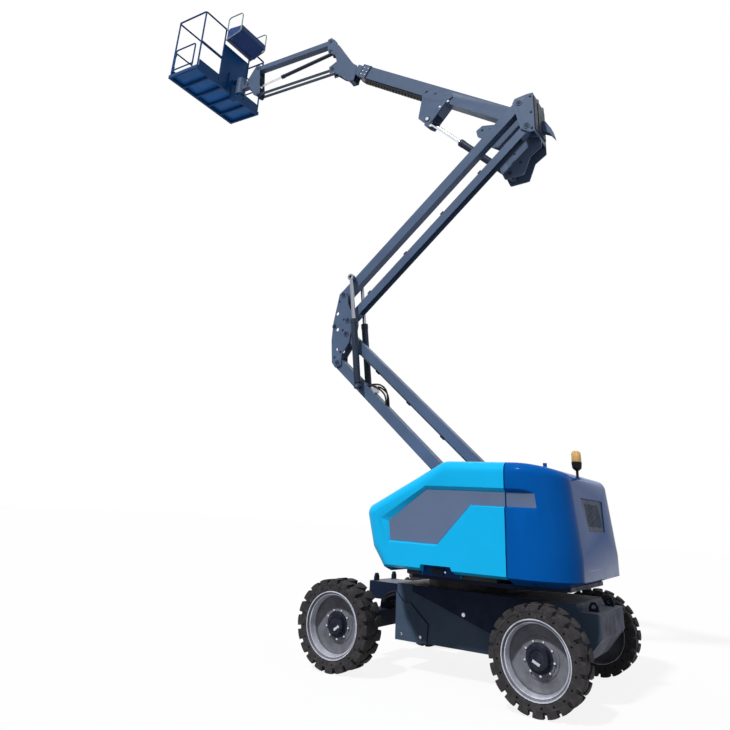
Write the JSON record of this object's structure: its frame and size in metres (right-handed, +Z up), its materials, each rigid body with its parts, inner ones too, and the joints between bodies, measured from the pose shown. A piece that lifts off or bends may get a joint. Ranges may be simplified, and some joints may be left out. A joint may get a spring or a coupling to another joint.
{
  "type": "articulating boom lift",
  "caption": "Self-propelled articulating boom lift: slewing turntable, parallel-link riser, telescopic boom, jib and railed work platform, with steered wheels and opening side covers",
  "frame": {"origin": "middle of the bounding box at ground level", "axes": "+X forwards to the platform end, +Y to the left side, +Z up"},
  "size_m": [7.1188, 2.4, 10.4118],
  "materials": {
    "azure_paint": "gloss paint",
    "navy_paint": "satin dark paint",
    "slate_paint": "satin paint",
    "platform_paint": "satin paint",
    "panel_paint": "matt paint",
    "rim_paint": "worn silver paint",
    "tyre_rubber": "worn rubber",
    "steel_rod": "polished",
    "bare_steel": "bare steel",
    "black_plastic": "moulded",
    "amber_lens": "clear amber",
    "console_cover": "moulded",
    "dark_block": "matt"
  },
  "bodies": {
    "chassis": {"chassis_frame": "navy_paint", "steer_axle": "navy_paint", "drive_hubs": "navy_paint", "slew_ring": "bare_steel", "tie_down_lugs": "navy_paint"},
    "steering_left": {"knuckle_left": "navy_paint"},
    "steering_right": {"knuckle_right": "navy_paint"},
    "wheel_front_left": {"rim_front_left": "rim_paint", "tyre_front_left": "tyre_rubber"},
    "wheel_front_right": {"rim_front_right": "rim_paint", "tyre_front_right": "tyre_rubber"},
    "wheel_rear_left": {"rim_rear_left": "rim_paint", "tyre_rear_left": "tyre_rubber"},
    "wheel_rear_right": {"rim_rear_right": "rim_paint", "tyre_rear_right": "tyre_rubber"},
    "turntable": {"turntable_base": "navy_paint", "counterweight": "azure_paint", "rear_grille": "black_plastic", "beacon": "amber_lens", "engine_block": "dark_block", "tank_block": "dark_block"},
    "cover_left": {"hood_left": "azure_paint", "hood_panel_left": "panel_paint"},
    "cover_right": {"hood_right": "azure_paint", "hood_panel_right": "panel_paint"},
    "riser_lower_arm": {"lower_arm": "slate_paint"},
    "riser_lower_link": {"lower_link": "slate_paint"},
    "riser_elbow": {"elbow_plates": "slate_paint"},
    "riser_upper_arm": {"upper_arm": "slate_paint"},
    "riser_upper_link": {"upper_link": "slate_paint"},
    "riser_barrel": {"riser_barrels": "slate_paint"},
    "riser_rod": {"riser_rods": "steel_rod"},
    "boom_upright": {"upright": "slate_paint"},
    "main_boom": {"boom_outer": "slate_paint", "hose_carrier": "black_plastic"},
    "boom_extension": {"boom_inner": "slate_paint"},
    "lift_barrel": {"boom_cylinder_barrel": "slate_paint"},
    "lift_rod": {"boom_cylinder_rod": "steel_rod"},
    "jib": {"jib_arm": "slate_paint"},
    "jib_lower_link": {"jib_link": "slate_paint"},
    "jib_head": {"jib_end": "slate_paint"},
    "jib_barrel": {"jib_cylinder_barrel": "slate_paint"},
    "jib_rod": {"jib_cylinder_rod": "steel_rod"},
    "platform_turner": {"rotator": "slate_paint"},
    "platform": {"platform_floor": "platform_paint", "platform_rails": "platform_paint", "toe_boards": "platform_paint", "platform_mount": "platform_paint", "console": "console_cover", "console_guards": "bare_steel"},
    "gate": {"platform_gate": "platform_paint"}
  },
  "joints": [
    {"name": "steer_left", "type": "hinge", "parent": "chassis", "child": "steering_left", "pos_m": [-1.09562, 0.79, 0.41376], "axis": [0, 0, 1], "range_deg": [-38, 38]},
    {"name": "wheel_front_left_roll", "type": "hinge", "parent": "steering_left", "child": "wheel_front_left", "pos_m": [-1.09562, 1.05, 0.41376], "axis": [0, 1, 0], "continuous": true},
    {"name": "wheel_rear_left_roll", "type": "hinge", "parent": "chassis", "child": "wheel_rear_left", "pos_m": [-3.14562, 1.05, 0.41376], "axis": [0, 1, 0], "continuous": true},
    {"name": "steer_right", "type": "hinge", "parent": "chassis", "child": "steering_right", "pos_m": [-1.09562, -0.79, 0.41376], "axis": [0, 0, 1], "range_deg": [-38, 38]},
    {"name": "wheel_front_right_roll", "type": "hinge", "parent": "steering_right", "child": "wheel_front_right", "pos_m": [-1.09562, -1.05, 0.41376], "axis": [0, 1, 0], "continuous": true},
    {"name": "wheel_rear_right_roll", "type": "hinge", "parent": "chassis", "child": "wheel_rear_right", "pos_m": [-3.14562, -1.05, 0.41376], "axis": [0, 1, 0], "continuous": true},
    {"name": "slew", "type": "hinge", "parent": "chassis", "child": "turntable", "pos_m": [-2.14562, 0, 0.88376], "axis": [0, 0, 1], "range_deg": [-177, 177]},
    {"name": "cover_left_hinge", "type": "hinge", "parent": "turntable", "child": "cover_left", "pos_m": [-2.44562, 0.409, 1.98676], "axis": [1, 0, 0], "range_deg": [0, 70]},
    {"name": "cover_right_hinge", "type": "hinge", "parent": "turntable", "child": "cover_right", "pos_m": [-2.44562, -0.309, 1.98676], "axis": [-1, 0, 0], "range_deg": [0, 70]},
    {"name": "riser_lift", "type": "hinge", "parent": "turntable", "child": "riser_lower_arm", "pos_m": [-2.56562, 0.17, 1.29376], "axis": [0, -1, 0], "range_deg": [-40.3, 23]},
    {"name": "lower_link_turn", "type": "hinge", "parent": "turntable", "child": "riser_lower_link", "pos_m": [-2.67562, 0.17, 1.67876], "axis": [0, -1, 0], "range_deg": [-40.3, 23]},
    {"name": "elbow_turn", "type": "hinge", "parent": "riser_lower_arm", "child": "riser_elbow", "pos_m": [-0.32962, 0.17, 3.29476], "axis": [0, -1, 0], "range_deg": [-23, 40.3]},
    {"name": "upper_arm_turn", "type": "hinge", "parent": "riser_elbow", "child": "riser_upper_arm", "pos_m": [-0.36262, 0.17, 4.23976], "axis": [0, -1, 0], "range_deg": [-23, 40.3]},
    {"name": "upper_link_turn", "type": "hinge", "parent": "riser_elbow", "child": "riser_upper_link", "pos_m": [-0.45262, 0.17, 3.86776], "axis": [0, -1, 0], "range_deg": [-23, 40.3]},
    {"name": "upright_turn", "type": "hinge", "parent": "riser_upper_arm", "child": "boom_upright", "pos_m": [-2.93862, 0.17, 6.58976], "axis": [0, -1, 0], "range_deg": [-40.3, 23]},
    {"name": "riser_barrel_turn", "type": "hinge", "parent": "riser_lower_arm", "child": "riser_barrel", "pos_m": [-0.70662, 0.17, 2.95476], "axis": [0, -1, 0], "range_deg": [-20.13, 35.27]},
    {"name": "riser_rod_slide", "type": "slide", "parent": "riser_barrel", "child": "riser_rod", "axis": [0.1284, 0, 0.9917], "range_m": [-0.4038, 0.2305]},
    {"name": "boom_lift", "type": "hinge", "parent": "boom_upright", "child": "main_boom", "pos_m": [-2.99562, -0.13, 6.52876], "axis": [0, -1, 0], "range_deg": [-33, 37]},
    {"name": "boom_extend", "type": "slide", "parent": "main_boom", "child": "boom_extension", "axis": [0.8377, 0, 0.5461], "range_m": [0, 1.2]},
    {"name": "lift_barrel_turn", "type": "hinge", "parent": "boom_upright", "child": "lift_barrel", "pos_m": [-2.69562, -0.13, 5.71876], "axis": [0, -1, 0], "range_deg": [-26.42, 29.62]},
    {"name": "lift_rod_slide", "type": "slide", "parent": "lift_barrel", "child": "lift_rod", "axis": [0.7117, 0, 0.7024], "range_m": [-0.4383, 0.4915]},
    {"name": "jib_lift", "type": "hinge", "parent": "boom_extension", "child": "jib", "pos_m": [0.45438, -0.13, 9.12876], "axis": [0, 1, 0], "range_deg": [-58, 65]},
    {"name": "jib_link_turn", "type": "hinge", "parent": "boom_extension", "child": "jib_lower_link", "pos_m": [0.37238, -0.13, 8.51476], "axis": [0, 1, 0], "range_deg": [-58, 65]},
    {"name": "jib_head_turn", "type": "hinge", "parent": "jib", "child": "jib_head", "pos_m": [2.13438, -0.13, 9.15276], "axis": [0, 1, 0], "range_deg": [-65, 58]},
    {"name": "jib_barrel_turn", "type": "hinge", "parent": "boom_extension", "child": "jib_barrel", "pos_m": [0.44438, -0.13, 8.92376], "axis": [0, 1, 0], "range_deg": [-58.72, 65.81]},
    {"name": "jib_rod_slide", "type": "slide", "parent": "jib_barrel", "child": "jib_rod", "axis": [0.9945, 0, -0.1043], "range_m": [-0.18, 0.2017]},
    {"name": "platform_level", "type": "hinge", "parent": "jib_head", "child": "platform_turner", "pos_m": [2.33438, -0.13, 8.85876], "axis": [0, -1, 0], "range_deg": [-37, 33]},
    {"name": "platform_rotate", "type": "hinge", "parent": "platform_turner", "child": "platform", "pos_m": [2.57938, -0.13, 8.90376], "axis": [0, 0, 1], "range_deg": [-80, 80]},
    {"name": "gate_hinge", "type": "hinge", "parent": "platform", "child": "gate", "pos_m": [3.48238, 0.808, 9.79876], "axis": [0, 0, 1], "range_deg": [0, 90]}
  ],
  "couplings": [
    {"joint": "steer_right", "follows": "steer_left", "ratio": 1},
    {"joint": "lower_link_turn", "follows": "riser_lift", "ratio": 1},
    {"joint": "elbow_turn", "follows": "riser_lift", "ratio": -1},
    {"joint": "upper_arm_turn", "follows": "riser_lift", "ratio": -1},
    {"joint": "upper_link_turn", "follows": "riser_lift", "ratio": -1},
    {"joint": "upright_turn", "follows": "riser_lift", "ratio": 1},
    {"joint": "riser_barrel_turn", "follows": "riser_lift", "ratio": -0.87523},
    {"joint": "riser_rod_slide", "follows": "riser_lift", "m_per_rad": 0.5741},
    {"joint": "lift_barrel_turn", "follows": "boom_lift", "ratio": 0.80061},
    {"joint": "lift_rod_slide", "follows": "boom_lift", "m_per_rad": 0.76108},
    {"joint": "jib_link_turn", "follows": "jib_lift", "ratio": 1},
    {"joint": "jib_head_turn", "follows": "jib_lift", "ratio": -1},
    {"joint": "jib_barrel_turn", "follows": "jib_lift", "ratio": 1.0124},
    {"joint": "jib_rod_slide", "follows": "jib_lift", "m_per_rad": 0.1778},
    {"joint": "platform_level", "follows": "boom_lift", "ratio": -1}
  ]
}
